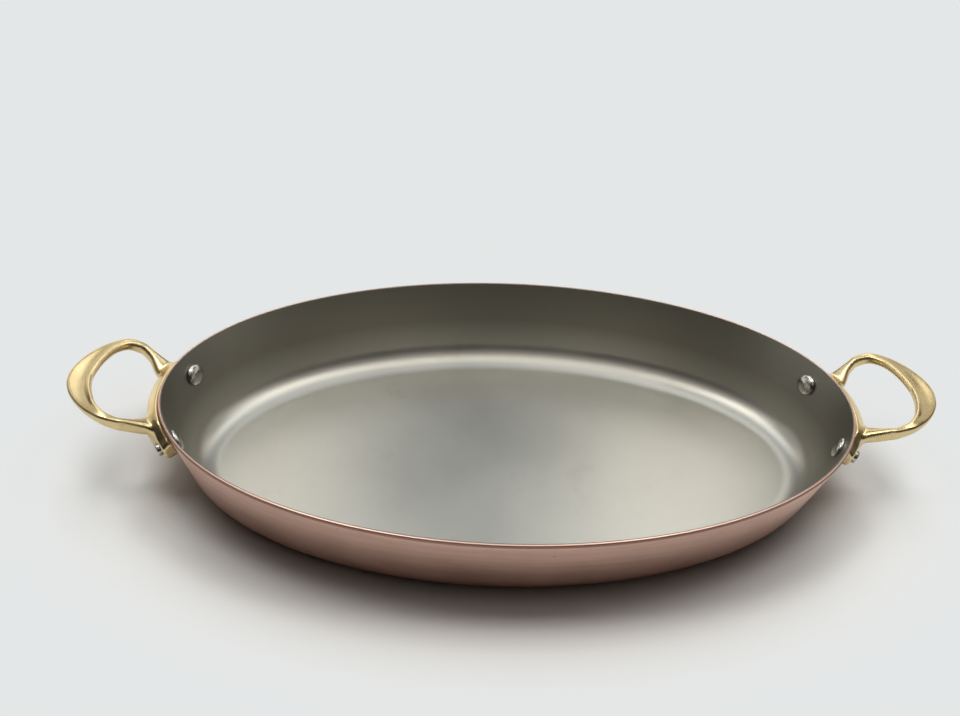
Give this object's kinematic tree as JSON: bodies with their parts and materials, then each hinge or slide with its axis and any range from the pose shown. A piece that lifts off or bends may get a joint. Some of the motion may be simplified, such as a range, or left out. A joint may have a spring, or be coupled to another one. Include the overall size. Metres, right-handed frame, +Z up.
{
  "type": "gratin pan",
  "caption": "Shallow oval metal gratin pan with a low flared wall, a thin lining inside, and a flat loop handle riveted to each end",
  "frame": {"origin": "Centre of the box around the pan and its handles, on the plane that the base stands on", "axes": "X runs along the long axis through both handles, Y across the pan away from the front, Z up out of the mouth"},
  "size_m": [0.4346, 0.2098, 0.0555],
  "materials": {
    "copper": "satin",
    "lining": "brushed",
    "handle_brass": "polished",
    "rivet_steel": "polished"
  },
  "bodies": {
    "root": {"copper_shell": "copper", "steel_lining": "lining", "right_handle": "handle_brass", "left_handle": "handle_brass", "right_far_rivet": "rivet_steel", "right_near_rivet": "rivet_steel", "left_far_rivet": "rivet_steel", "left_near_rivet": "rivet_steel"}
  },
  "joints": []
}
